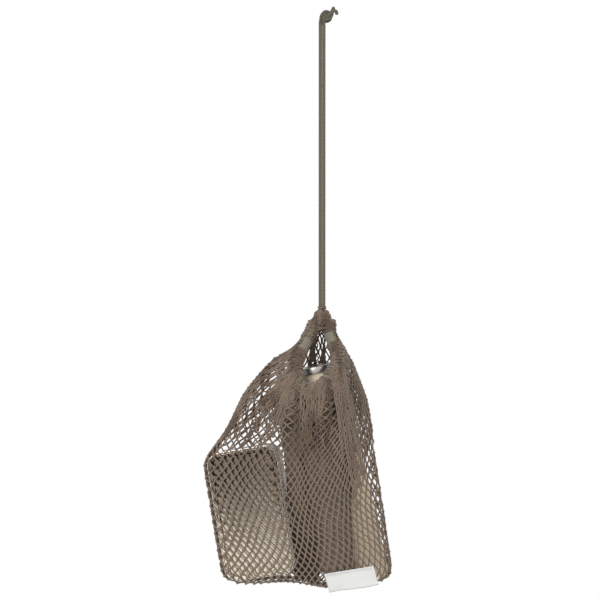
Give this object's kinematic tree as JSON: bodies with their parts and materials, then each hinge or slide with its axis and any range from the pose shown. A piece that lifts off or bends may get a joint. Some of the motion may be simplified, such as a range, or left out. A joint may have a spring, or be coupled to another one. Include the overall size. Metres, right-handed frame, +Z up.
{
  "type": "hanging net bag with its load",
  "caption": "Knotted string net bag hanging from a doubled drawcord, with a gathered fabric mouth band, holding a steel food tin, a vacuum bottle and a folded cloth.",
  "frame": {"origin": "the point of the cord loop that rests on the hook, just under the top knot", "axes": "+Z up along the cord; the net's mouth faces -Y; +X to the right when the mouth faces the viewer"},
  "size_m": [0.2251, 0.0994, 0.7],
  "materials": {
    "cord": "matte",
    "band": "matte",
    "net": "matte",
    "label": "matte",
    "towel": "matte",
    "steel": "satin",
    "cream": "matte",
    "seal": "matte"
  },
  "bodies": {
    "knot": {"top_knot": "cord", "tail_upper": "cord", "tail_lower": "cord"},
    "cord": {"strand_left": "cord", "strand_right": "cord", "neck_wrap": "net"},
    "neck": {"neck_gather": "net"},
    "bag": {"net_bag": "net", "bottom_seam": "net", "mouth_band_left": "band", "mouth_band_right": "band", "drawcord_left": "cord", "drawcord_right": "cord", "gather_left_upper": "net", "gather_left_middle": "net", "gather_left_lower": "net", "gather_right_upper": "net", "gather_right_middle": "net", "gather_right_lower": "net", "bottle_body": "cream", "bottle_liner": "steel", "tin_base": "steel", "tin_lid": "steel", "tin_seal": "seal", "folded_cloth": "towel"},
    "lip": {"mouth_band_lip": "band", "drawcord_lip": "cord", "gather_lip_left": "net", "gather_lip_middle": "net", "gather_lip_right": "net"},
    "cap": {"bottle_cap": "steel", "cap_seal": "seal"},
    "label": {"label": "label"}
  },
  "joints": [
    {"name": "hook_swing", "type": "hinge", "parent": "knot", "child": "cord", "pos_m": [0, 0, 0], "axis": [0, 1, 0], "range_deg": [-30, 30]},
    {"name": "bag_sway", "type": "hinge", "parent": "cord", "child": "neck", "pos_m": [0, 0, -0.3456], "axis": [1, 0, 0], "range_deg": [-25, 25]},
    {"name": "bag_twist", "type": "hinge", "parent": "neck", "child": "bag", "pos_m": [0, 0, -0.3456], "axis": [0, 0, 1], "range_deg": [-180, 180], "stiffness_Nm_per_rad": 0.002},
    {"name": "lip_fold", "type": "hinge", "parent": "bag", "child": "lip", "pos_m": [-0.032, -0.038, -0.42], "axis": [-0.9969, 0, -0.0787], "range_deg": [0, 30]},
    {"name": "cap_turn", "type": "hinge", "parent": "bag", "child": "cap", "pos_m": [-0.0085, 0.007, -0.4034], "axis": [-0.2164, 0, 0.9763], "continuous": true},
    {"name": "label_flap", "type": "hinge", "parent": "bag", "child": "label", "pos_m": [0.03428, -0.0496, -0.63985], "axis": [-0.9738, -0.1889, -0.1266], "range_deg": [0, 60]}
  ]
}
